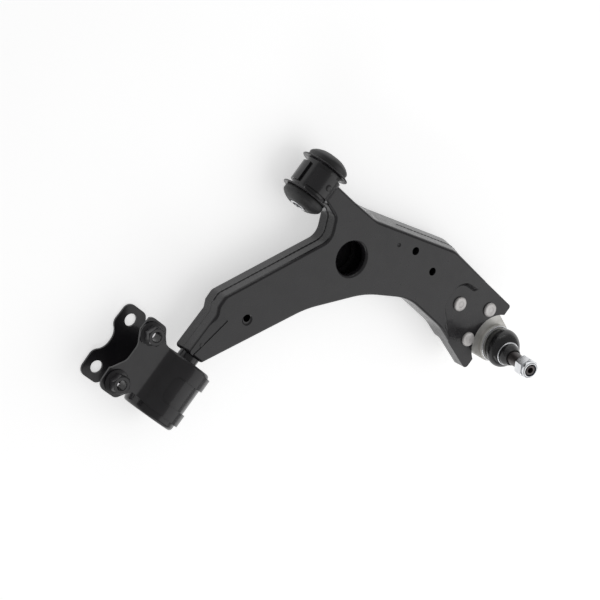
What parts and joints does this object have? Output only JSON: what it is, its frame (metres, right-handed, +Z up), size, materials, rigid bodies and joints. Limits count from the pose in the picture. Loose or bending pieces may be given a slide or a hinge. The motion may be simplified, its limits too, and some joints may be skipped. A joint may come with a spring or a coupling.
{
  "type": "suspension control arm",
  "caption": "Front lower control arm: welded two-shell steel arm with a front eye bush, a rear pin bush in a bolt-on bracket and a riveted ball joint.",
  "frame": {"origin": "bottom centre of the box round the arm", "axes": "+X outboard from the swing axis to the ball joint, +Y forward along the swing axis from the rear bush to the front bush, +Z up along the side the ball stud stands on"},
  "size_m": [0.4478, 0.3629, 0.122],
  "materials": {
    "black_paint": "semi-gloss black paint over pressed steel",
    "bracket_paint": "satin black paint over pressed steel",
    "pale_forging": "pale coated forging, turned faces",
    "rivet_steel": "pale plated rivet",
    "zinc": "bright zinc plate",
    "dark_steel": "dark oiled steel",
    "rubber": "matt black rubber",
    "nylon": "dark blue nylon",
    "seat_plastic": "pale bearing plastic"
  },
  "bodies": {
    "arm": {"upper_shell": "black_paint", "lower_shell": "black_paint", "front_eye_tube": "black_paint", "front_bush_outer_sleeve": "dark_steel", "front_bush_rubber": "rubber", "rear_pin": "black_paint", "rear_bush_inner_sleeve": "zinc", "ball_joint_housing": "pale_forging", "ball_joint_cap": "pale_forging", "ball_seat": "seat_plastic", "boot_clamp_ring": "zinc", "rivet_1": "rivet_steel", "rivet_2": "rivet_steel", "rivet_3": "rivet_steel"},
    "front_sleeve": {"front_bush_inner_sleeve": "zinc"},
    "rear_mount": {"rear_bracket": "bracket_paint", "rear_bush_can": "bracket_paint", "rear_bush_rubber": "rubber", "bracket_nut_front": "bracket_paint", "bracket_nut_rear": "bracket_paint"},
    "boot_body": {"boot": "rubber"},
    "boot_neck": {"boot_neck_ring": "zinc"},
    "stud": {"ball_stud": "dark_steel", "lock_nut": "zinc", "nylon_insert": "nylon"}
  },
  "joints": [
    {"name": "front_bush_twist", "type": "hinge", "parent": "arm", "child": "front_sleeve", "pos_m": [-0.1441, 0.12355, 0.0328], "axis": [0, 1, 0], "range_deg": [-18, 18], "stiffness_Nm_per_rad": 4},
    {"name": "rear_bush_twist", "type": "hinge", "parent": "arm", "child": "rear_mount", "pos_m": [-0.1441, -0.14245, 0.0328], "axis": [0, 1, 0], "range_deg": [-18, 18], "stiffness_Nm_per_rad": 4},
    {"name": "stud_swing", "type": "hinge", "parent": "arm", "child": "boot_body", "pos_m": [0.2009, 0.12755, 0.0348], "axis": [1, 0, 0], "range_deg": [-22, 6], "deforming": ["boot"]},
    {"name": "stud_tilt", "type": "hinge", "parent": "boot_body", "child": "boot_neck", "pos_m": [0.2009, 0.12755, 0.0348], "axis": [0, 1, 0], "range_deg": [-10, 18], "deforming": ["boot"]},
    {"name": "stud_spin", "type": "hinge", "parent": "boot_neck", "child": "stud", "pos_m": [0.2009, 0.12755, 0.0348], "axis": [-0.0691, -0.1392, 0.9879], "continuous": true}
  ]
}
